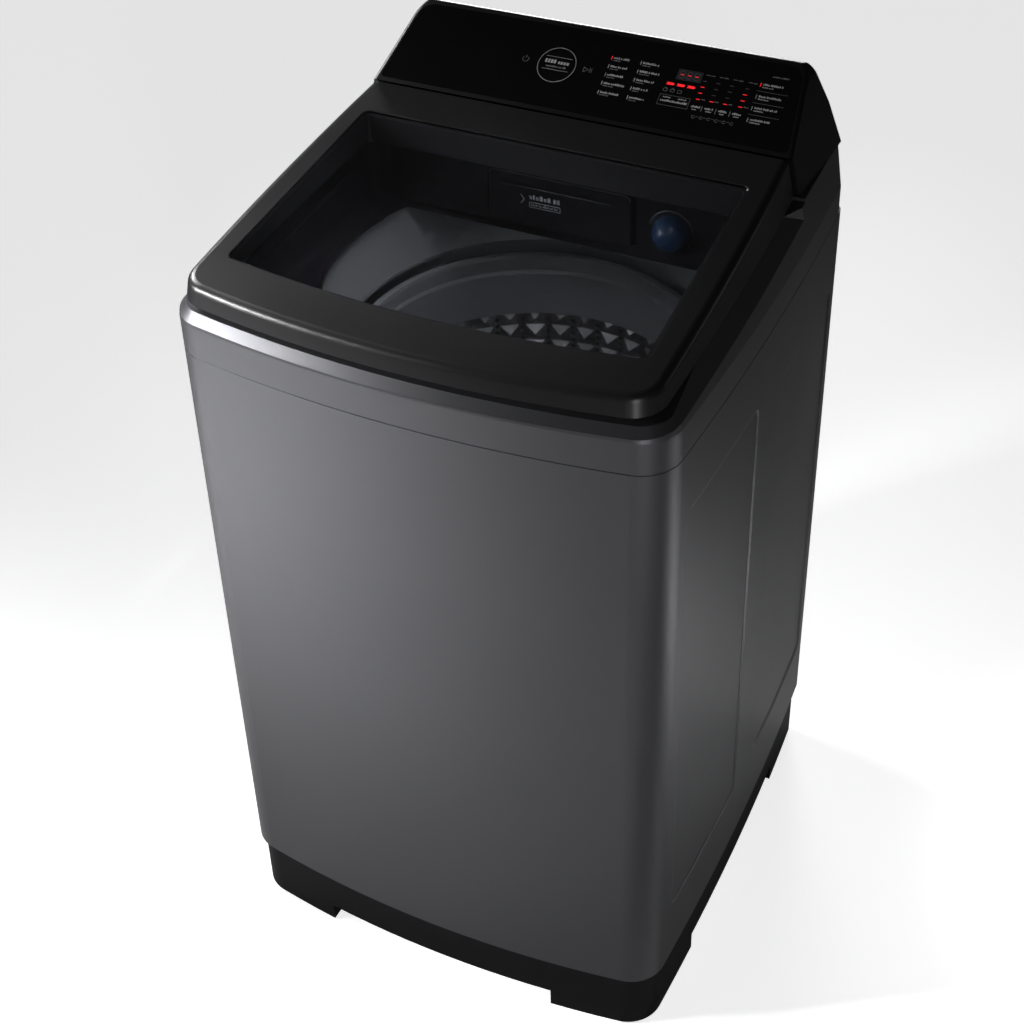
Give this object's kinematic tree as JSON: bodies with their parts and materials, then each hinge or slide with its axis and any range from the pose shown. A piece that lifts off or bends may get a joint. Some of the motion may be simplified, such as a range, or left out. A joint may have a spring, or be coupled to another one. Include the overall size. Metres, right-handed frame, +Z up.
{
  "type": "top load washing machine",
  "caption": "Upright top load washing machine with bowed cabinet, hinged tinted glass lid, sloping push-key console, detergent drawer and suspended spinning drum.",
  "frame": {"origin": "on the floor under the middle of the cabinet", "axes": "+Z up, +X to the right seen from the front, front faces -Y"},
  "size_m": [0.54, 0.56, 0.993],
  "materials": {
    "cabinet_paint": "satin grey enamel",
    "rear_zinc": "plain coated sheet",
    "top_grey": "satin grey moulding",
    "base_black": "matt black moulding",
    "lid_black": "satin black moulding",
    "inner_black": "fine textured black",
    "console_black": "satin black moulding",
    "fascia_gloss": "gloss black printed sheet",
    "smoked_lens": "smoked lens",
    "tinted_glass": "tinted toughened glass",
    "cap_blue": "translucent blue",
    "tub_grey": "smooth grey moulding",
    "stainless": "embossed stainless sheet",
    "steel": "zinc plated steel",
    "alloy": "cast alloy",
    "bearing_steel": "ground steel",
    "rubber": "black rubber",
    "service_plastic": "natural moulding",
    "board_green": "circuit board"
  },
  "bodies": {
    "cabinet": {"base": "base_black", "cabinet_shell": "cabinet_paint", "rear_panel": "rear_zinc", "rear_screws": "steel", "top_frame": "top_grey", "top_apron": "inner_black", "panel_housing": "console_black", "control_fascia": "fascia_gloss", "display_window": "smoked_lens", "control_board": "board_green", "hinge_brackets": "steel", "hinge_pins": "steel", "dispenser_housing": "inner_black", "softener_cup": "inner_black", "softener_cap": "cap_blue", "corner_brackets": "rear_zinc", "suspension_seats": "service_plastic", "suspension_rods": "steel", "suspension_springs": "steel", "drain_pump": "service_plastic", "inlet_valve": "service_plastic", "cord_gland": "rubber", "lid_switch": "service_plastic"},
    "tub": {"outer_tub": "tub_grey", "tub_cover": "tub_grey", "bearing_housing": "alloy", "spin_bearings": "bearing_steel", "shaft_seal": "rubber", "stator": "steel"},
    "drum": {"drum_shell": "stainless", "drum_base": "tub_grey", "balance_ring": "tub_grey", "drum_hub": "alloy", "spin_shaft": "stainless"},
    "pulsator": {"pulsator": "tub_grey", "pulsator_screw": "stainless", "drive_shaft": "stainless", "rotor": "steel"},
    "clutch": {"clutch_coupler": "steel"},
    "lid": {"lid_frame": "lid_black", "lid_liner": "inner_black", "lid_glass": "tinted_glass", "lid_bumpers": "rubber"},
    "drawer": {"detergent_drawer": "inner_black"},
    "power_key": {"power_key": "fascia_gloss"},
    "start_key": {"start_key": "fascia_gloss"},
    "option_key": {"option_key": "fascia_gloss"},
    "level_key": {"level_key": "fascia_gloss"},
    "wash_key": {"wash_key": "fascia_gloss"},
    "rinse_key": {"rinse_key": "fascia_gloss"},
    "spin_key": {"spin_key": "fascia_gloss"},
    "side_key_1": {"side_key_1": "fascia_gloss"},
    "side_key_2": {"side_key_2": "fascia_gloss"},
    "side_key_3": {"side_key_3": "fascia_gloss"},
    "side_key_4": {"side_key_4": "fascia_gloss"},
    "cycle_key": {"cycle_key": "fascia_gloss"},
    "foot_front_left": {"foot_front_left": "rubber"},
    "foot_front_right": {"foot_front_right": "rubber"},
    "foot_rear_left": {"foot_rear_left": "rubber"},
    "foot_rear_right": {"foot_rear_right": "rubber"}
  },
  "joints": [
    {"name": "lid_hinge", "type": "hinge", "parent": "cabinet", "child": "lid", "pos_m": [0, 0.1185, 0.92378], "axis": [-1, 0, 0], "range_deg": [0, 92]},
    {"name": "tub_bounce", "type": "slide", "parent": "cabinet", "child": "tub", "axis": [0, 0, 1], "range_m": [-0.012, 0], "stiffness_N_per_m": 8000, "springref_m": 0.045, "deforming": ["suspension_springs"]},
    {"name": "drum_spin", "type": "hinge", "parent": "tub", "child": "drum", "pos_m": [0, 0.01, 0.4], "axis": [0, 0, 1], "continuous": true},
    {"name": "pulsator_spin", "type": "hinge", "parent": "tub", "child": "pulsator", "pos_m": [0, 0.01, 0.25], "axis": [0, 0, 1], "continuous": true},
    {"name": "clutch_shift", "type": "slide", "parent": "drum", "child": "clutch", "axis": [0, 0, 1], "range_m": [0, 0.006]},
    {"name": "drawer_slide", "type": "slide", "parent": "cabinet", "child": "drawer", "axis": [0, -1, 0], "range_m": [0, 0.085]},
    {"name": "power_key_press", "type": "slide", "parent": "cabinet", "child": "power_key", "axis": [0, 0.5364, -0.844], "range_m": [0, 0.0008], "stiffness_N_per_m": 1500, "springref_m": -0.001},
    {"name": "start_key_press", "type": "slide", "parent": "cabinet", "child": "start_key", "axis": [0, 0.5364, -0.844], "range_m": [0, 0.0008], "stiffness_N_per_m": 1500, "springref_m": -0.001},
    {"name": "option_key_press", "type": "slide", "parent": "cabinet", "child": "option_key", "axis": [0, 0.5364, -0.844], "range_m": [0, 0.0008], "stiffness_N_per_m": 1500, "springref_m": -0.001},
    {"name": "level_key_press", "type": "slide", "parent": "cabinet", "child": "level_key", "axis": [0, 0.5364, -0.844], "range_m": [0, 0.0008], "stiffness_N_per_m": 1500, "springref_m": -0.001},
    {"name": "wash_key_press", "type": "slide", "parent": "cabinet", "child": "wash_key", "axis": [0, 0.5364, -0.844], "range_m": [0, 0.0008], "stiffness_N_per_m": 1500, "springref_m": -0.001},
    {"name": "rinse_key_press", "type": "slide", "parent": "cabinet", "child": "rinse_key", "axis": [0, 0.5364, -0.844], "range_m": [0, 0.0008], "stiffness_N_per_m": 1500, "springref_m": -0.001},
    {"name": "spin_key_press", "type": "slide", "parent": "cabinet", "child": "spin_key", "axis": [0, 0.5364, -0.844], "range_m": [0, 0.0008], "stiffness_N_per_m": 1500, "springref_m": -0.001},
    {"name": "side_key_1_press", "type": "slide", "parent": "cabinet", "child": "side_key_1", "axis": [0, 0.5364, -0.844], "range_m": [0, 0.0008], "stiffness_N_per_m": 1500, "springref_m": -0.001},
    {"name": "side_key_2_press", "type": "slide", "parent": "cabinet", "child": "side_key_2", "axis": [0, 0.5364, -0.844], "range_m": [0, 0.0008], "stiffness_N_per_m": 1500, "springref_m": -0.001},
    {"name": "side_key_3_press", "type": "slide", "parent": "cabinet", "child": "side_key_3", "axis": [0, 0.5364, -0.844], "range_m": [0, 0.0008], "stiffness_N_per_m": 1500, "springref_m": -0.001},
    {"name": "side_key_4_press", "type": "slide", "parent": "cabinet", "child": "side_key_4", "axis": [0, 0.5364, -0.844], "range_m": [0, 0.0008], "stiffness_N_per_m": 1500, "springref_m": -0.001},
    {"name": "cycle_key_press", "type": "slide", "parent": "cabinet", "child": "cycle_key", "axis": [0, 0.5364, -0.844], "range_m": [0, 0.0008], "stiffness_N_per_m": 1500, "springref_m": -0.001},
    {"name": "foot_front_left_screw", "type": "slide", "parent": "cabinet", "child": "foot_front_left", "axis": [0, 0, -1], "range_m": [0, 0.012]},
    {"name": "foot_front_right_screw", "type": "slide", "parent": "cabinet", "child": "foot_front_right", "axis": [0, 0, -1], "range_m": [0, 0.012]},
    {"name": "foot_rear_left_screw", "type": "slide", "parent": "cabinet", "child": "foot_rear_left", "axis": [0, 0, -1], "range_m": [0, 0.012]},
    {"name": "foot_rear_right_screw", "type": "slide", "parent": "cabinet", "child": "foot_rear_right", "axis": [0, 0, -1], "range_m": [0, 0.012]}
  ]
}
